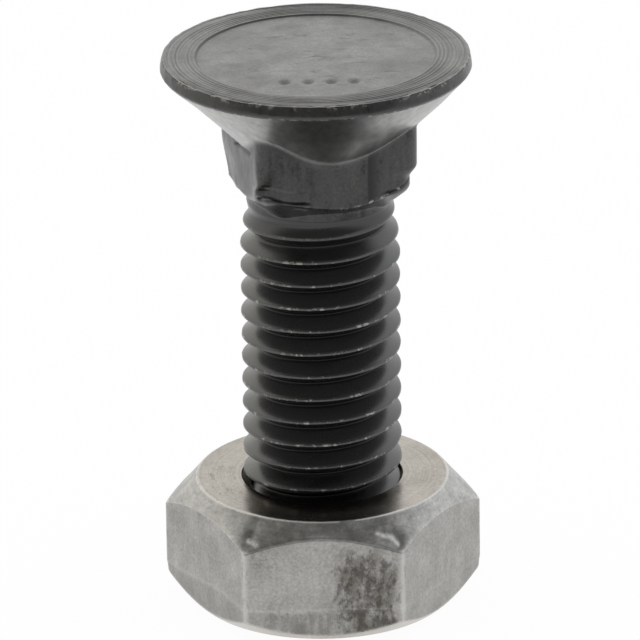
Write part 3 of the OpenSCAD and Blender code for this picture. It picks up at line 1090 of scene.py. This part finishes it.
def steel_turned_finish():
    material, tree, shader = new_finish("bare_steel_turned")
    rings = use(tree, turned_rings, Pitch=0.16, Waver=0.25, Contrast=0.2)
    blotch = use(tree, steel_grain, Size=2.0, Contrast=0.4, Detail=5.0, Seed=41.0)
    fine = use(tree, steel_grain, Size=0.22, Contrast=0.3, Detail=2.0, Seed=42.0)
    scuffs = use(tree, oil_stain, Size=0.6, Stretch=(1.6, 0.6, 1), Cover=0.33, Softness=0.15,
                 Seed=44.0, **NUT_TOP_LEFT)
    wear = use(tree, edge_wear, Size=0.8, Amount=0.75, Seed=43.0)
    colour = dimmed(tree, NUT_TOP, product(tree, rings, blotch, fine))
    colour = mix_colour(tree, product(tree, scuffs, 0.55), colour, NUT_TOP_SCUFF)
    colour = mix_colour(tree, product(tree, wear, 0.45), colour, WORN_NUT_TOP)
    height = math_node(tree, "ADD", rings, fine)
    coat(tree, shader, colour, 1.0, product(tree, blotch, 0.24), height, 0.004)
    return material


def steel_bore_finish():
    material, tree, shader = new_finish("bare_steel_bore")
    blotch = use(tree, steel_grain, Size=1.2, Contrast=0.5, Detail=4.0, Seed=51.0)
    fine = use(tree, steel_grain, Size=0.15, Contrast=0.4, Detail=2.0, Seed=52.0)
    colour = dimmed(tree, NUT_BORE, product(tree, blotch, fine))
    coat(tree, shader, colour, 1.0, product(tree, blotch, 0.35), fine, 0.004)
    return material


plow_bolt([black_oxide_finish(), rolled_thread_finish(), turned_face_finish()])
hex_nut([steel_flats_finish(), steel_turned_finish(), steel_bore_finish(), steel_bevel_finish()])


# Floor, light and camera. The floor and the softbox are placed in metres

FLOOR_HALF = 1.5
FLOOR_Z = -0.00002
FLOOR_GLOW = 0.96
FLOOR_PAPER = (0.95, 0.95, 0.95, 1)
LENS_MM = 457.0
CAMERA_DISTANCE = 500.5
CAMERA_ELEVATION = 21.68
CAMERA_ROLL = -0.75
CAMERA_AIM = (-0.064, 0.0, 17.98)

# The room is white all round but for its dim side above and in front of the bolt
DIM_SIDE = (0.0, -0.6, 0.8)
DIM_START = 0.28
DIM_END = 0.68
DIM_LEVEL = 0.2
LEFT_LIGHT = (1.0, 0.985, 0.93)
RIGHT_LIGHT = (0.98, 0.99, 1.0)
SOFTBOX_SIZE = 0.6
SOFTBOX_POWER = 2.0
SOFTBOX_PLACE = (0, 0.05, 0.6)


def seen_directly(tree):
    """1 for what the camera sees by itself or in a polished or clear surface."""
    rays = tree.nodes.new("ShaderNodeLightPath").outputs
    return strongest(tree, rays["Is Camera Ray"], rays["Is Glossy Ray"], rays["Is Transmission Ray"])


def mix_shader(tree, share, first, second):
    node = tree.nodes.new("ShaderNodeMixShader")
    for socket, value in zip(node.inputs, (share, first, second)):
        feed(tree, socket, value)
    return node.outputs[0]


def white_floor():
    mesh = bpy.data.meshes.new("floor")
    sides = ((-1, -1), (1, -1), (1, 1), (-1, 1))
    corners = [(x * FLOOR_HALF, y * FLOOR_HALF, FLOOR_Z) for x, y in sides]
    mesh.from_pydata(corners, [], [(0, 1, 2, 3)])
    floor = bpy.data.objects.new("floor", mesh)
    bpy.context.scene.collection.objects.link(floor)
    material = bpy.data.materials.new("white_floor")
    material.use_nodes = True
    tree = material.node_tree
    paper = tree.nodes["Principled BSDF"]
    paper.inputs["Base Color"].default_value = FLOOR_PAPER
    paper.inputs["Roughness"].default_value = 0.9
    paper.inputs["Specular IOR Level"].default_value = 0.0
    glow = tree.nodes.new("ShaderNodeEmission").outputs[0]
    clear = tree.nodes.new("ShaderNodeBsdfTransparent").outputs[0]
    backfacing = tree.nodes.new("ShaderNodeNewGeometry").outputs["Backfacing"]
    above = mix_shader(tree, product(tree, seen_directly(tree), FLOOR_GLOW), paper.outputs[0], glow)
    feed(tree, tree.nodes["Material Output"].inputs["Surface"], mix_shader(tree, backfacing, above, clear))
    mesh.materials.append(material)


def studio_light():
    world = bpy.data.worlds.new("white_studio")
    bpy.context.scene.world = world
    world.use_nodes = True
    tree = world.node_tree
    way = tree.nodes.new("ShaderNodeTexCoord").outputs["Generated"]
    towards_dim = vector_node(tree, "DOT_PRODUCT", way, DIM_SIDE)
    dim = remap(tree, towards_dim, DIM_START, DIM_END, 1.0, DIM_LEVEL)
    across = tree.nodes.new("ShaderNodeSeparateXYZ")
    feed(tree, across.inputs[0], way)
    side = remap(tree, across.outputs["X"], -0.7, 0.7)
    walls = dimmed(tree, mix_colour(tree, side, LEFT_LIGHT, RIGHT_LIGHT), dim)
    room = tree.nodes["Background"]
    feed(tree, room.inputs["Color"], walls)
    backdrop = tree.nodes.new("ShaderNodeBackground")
    backdrop.inputs["Color"].default_value = (1, 1, 1, 1)
    camera_ray = tree.nodes.new("ShaderNodeLightPath").outputs["Is Camera Ray"]
    surface = mix_shader(tree, camera_ray, room.outputs[0], backdrop.outputs[0])
    feed(tree, tree.nodes["World Output"].inputs["Surface"], surface)

    lamp_data = bpy.data.lights.new("overhead_softbox", "AREA")
    lamp_data.shape = "RECTANGLE"
    lamp_data.size = SOFTBOX_SIZE
    lamp_data.size_y = SOFTBOX_SIZE
    lamp_data.energy = SOFTBOX_POWER
    lamp = bpy.data.objects.new("overhead_softbox", lamp_data)
    lamp.location = SOFTBOX_PLACE
    lamp.visible_glossy = False
    bpy.context.scene.collection.objects.link(lamp)


def portrait_camera():
    data = bpy.data.cameras.new("portrait_camera")
    data.sensor_width = 36.0
    data.lens = LENS_MM
    data.clip_start = 0.01
    data.clip_end = 10.0
    camera = bpy.data.objects.new("portrait_camera", data)
    elevation = math.radians(CAMERA_ELEVATION)
    tilt = Matrix.Rotation(math.radians(90) - elevation, 4, "X")
    roll = Matrix.Rotation(math.radians(CAMERA_ROLL), 4, "Z")
    back = Vector((0, -math.cos(elevation), math.sin(elevation)))
    place = Vector(CAMERA_AIM) * MM + back * CAMERA_DISTANCE * MM
    camera.matrix_world = Matrix.Translation(place) @ tilt @ roll
    bpy.context.scene.collection.objects.link(camera)
    bpy.context.scene.camera = camera


white_floor()
studio_light()
portrait_camera()
bpy.context.scene.view_settings.view_transform = "Standard"
